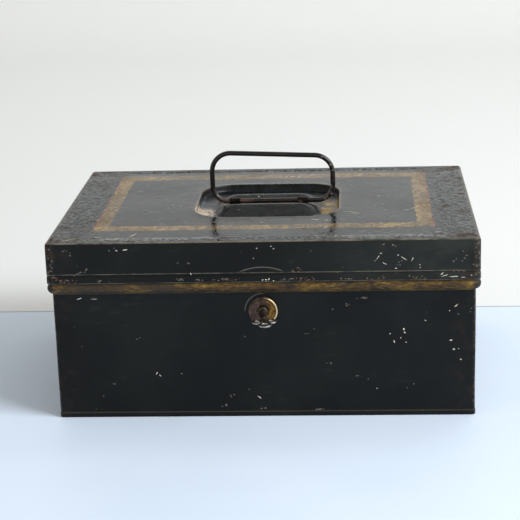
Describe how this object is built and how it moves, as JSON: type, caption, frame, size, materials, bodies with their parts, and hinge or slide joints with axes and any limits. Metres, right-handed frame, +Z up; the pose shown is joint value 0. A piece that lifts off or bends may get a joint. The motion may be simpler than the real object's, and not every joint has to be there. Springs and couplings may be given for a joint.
{
  "type": "cash box",
  "caption": "Black japanned tin cash box with a hinged lid, folding wire handle in a lid dish, brass keyhole with key, and a lift-out coin tray.",
  "frame": {"origin": "middle of the base's underside, on the surface that the box stands on", "axes": "+X to the right as seen from the lock, along the long side; +Y from the lock to the hinges; +Z up"},
  "size_m": [0.3074, 0.2603, 0.1714],
  "materials": {
    "black_japan": "glossy black japanning on tin, chipped and worn",
    "tray_japan": "satin black japanning on tin",
    "worn_gold": "gold lacquer on pressed tin, rubbed and rusty",
    "wire_steel": "black painted wire rubbed brown",
    "old_brass": "tarnished brass",
    "key_steel": "worn nickelled steel",
    "bare_tin": "dull tin plate",
    "plain_steel": "dull steel with brown spots"
  },
  "bodies": {
    "case": {"body_shell": "black_japan", "base_pan": "black_japan", "back_seam": "black_japan", "escutcheon": "old_brass", "lock_case": "bare_tin", "lock_post": "plain_steel", "lock_stump": "plain_steel", "lever_spring": "plain_steel", "hinge_leaf_case_left": "black_japan", "hinge_leaf_case_right": "black_japan", "hinge_pin_left": "plain_steel", "hinge_pin_right": "plain_steel", "hinge_rivets_case": "black_japan", "tray_rest_left": "black_japan", "tray_rest_right": "black_japan"},
    "lid": {"lid_shell": "black_japan", "handle_dish": "worn_gold", "handle_saddle": "black_japan", "handle_clips": "wire_steel", "catch_bracket": "bare_tin", "lid_catch": "plain_steel", "catch_rivets": "plain_steel", "hinge_leaf_lid_left": "black_japan", "hinge_leaf_lid_right": "black_japan", "hinge_rivets_lid": "black_japan"},
    "bail": {"handle": "wire_steel"},
    "key": {"key": "key_steel"},
    "bolt": {"lock_bolt": "plain_steel"},
    "lever": {"lock_lever": "old_brass"},
    "tray": {"tray_pan": "tray_japan", "tray_long_divider": "tray_japan", "tray_cup_divider_left": "tray_japan", "tray_cup_divider_middle": "tray_japan", "tray_cup_divider_right": "tray_japan", "tray_note_divider": "tray_japan", "tray_tab_left": "bare_tin", "tray_tab_right": "bare_tin"}
  },
  "joints": [
    {"name": "lid_hinge", "type": "hinge", "parent": "case", "child": "lid", "pos_m": [0, 0.1136, 0.1006], "axis": [-1, 0, 0], "range_deg": [0, 105]},
    {"name": "handle_hinge", "type": "hinge", "parent": "lid", "child": "bail", "pos_m": [0, 0.0048, 0.1316], "axis": [1, 0, 0], "range_deg": [-93, 93]},
    {"name": "key_turn", "type": "hinge", "parent": "case", "child": "key", "pos_m": [0, -0.108, 0.08], "axis": [0, -1, 0], "range_deg": [0, 90]},
    {"name": "bolt_slide", "type": "slide", "parent": "case", "child": "bolt", "axis": [-1, 0, 0], "range_m": [0, 0.006]},
    {"name": "lever_lift", "type": "hinge", "parent": "case", "child": "lever", "pos_m": [0.018, -0.102, 0.092], "axis": [0, 1, 0], "range_deg": [0, 8]},
    {"name": "tray_lift", "type": "slide", "parent": "case", "child": "tray", "axis": [0, 0, 1], "range_m": [0, 0.02]}
  ],
  "couplings": [
    {"joint": "key_turn", "follows": "bolt_slide", "rad_per_m": 261.75},
    {"joint": "lever_lift", "follows": "bolt_slide", "rad_per_m": 23.25}
  ]
}
